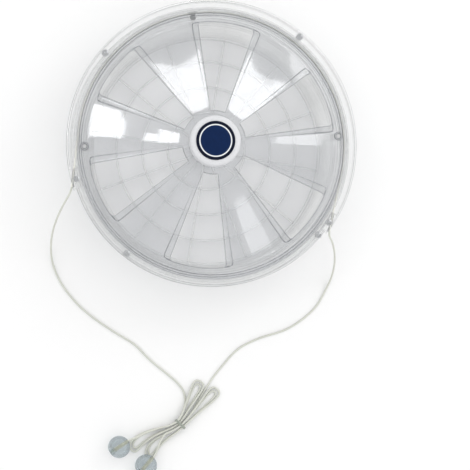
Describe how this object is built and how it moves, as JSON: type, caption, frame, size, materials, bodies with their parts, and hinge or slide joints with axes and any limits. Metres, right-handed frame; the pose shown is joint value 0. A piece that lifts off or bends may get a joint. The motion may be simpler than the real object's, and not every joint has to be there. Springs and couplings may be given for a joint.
{
  "type": "window ventilator",
  "caption": "Round clear window ventilator with a turning slotted shutter in a rim worked by pull cords with balls, clamped through a pane to an outdoor cowl with a ring grille.",
  "frame": {"origin": "on the axis of the pane hole, at the outdoor face of the cowl that the part stands on", "axes": "+Z along the axis, from outdoors to the room; +Y up as it hangs in a window; +X to the right seen from the room"},
  "size_m": [0.2319, 0.3615, 0.0817],
  "materials": {
    "clear_body": "clear, colourless, polished",
    "clear_shutter": "clear, colourless, polished",
    "clear_small": "clear, moulded",
    "screw_steel": "bright plated",
    "bolt_steel": "zinc plated",
    "white_cap": "white, satin",
    "navy_plate": "dark blue with a white ring, smooth",
    "bearing_plastic": "natural white",
    "seal": "soft, translucent",
    "cord": "smooth thin braid",
    "ball_plastic": "clear with a blue grey tinge, polished",
    "tie_plastic": "soft white"
  },
  "bodies": {
    "frame": {"front_frame": "clear_body", "cover_ring": "clear_body", "cover_screws": "screw_steel", "cord_guide_left": "clear_small", "cord_guide_right": "clear_small", "guide_screws": "screw_steel", "front_gasket": "seal", "rear_gasket": "seal", "pivot_bush": "bearing_plastic", "disc_spring": "bolt_steel", "thrust_washer": "bolt_steel", "clamp_bolt": "bolt_steel", "hub_cap": "white_cap", "hub_badge": "navy_plate", "rear_cowl": "clear_body", "rear_grille": "clear_body", "bolt_washer": "bolt_steel", "bolt_nut": "bolt_steel", "rim_cord": "cord", "left_lead": "cord", "left_hank": "cord", "left_tail": "cord", "right_lead": "cord", "right_hank": "cord", "right_tail": "cord", "hank_tie": "tie_plastic", "left_ball": "ball_plastic", "right_ball": "ball_plastic", "left_knot": "cord", "right_knot": "cord"},
    "shutter": {"shutter": "clear_shutter", "cord_anchor": "clear_small", "anchor_screw": "screw_steel", "stop_pins": "clear_small"}
  },
  "joints": [
    {"name": "shutter_turn", "type": "hinge", "parent": "frame", "child": "shutter", "pos_m": [0, 0, 0.0707], "axis": [0, 0, 1], "range_deg": [-30, 0]}
  ]
}
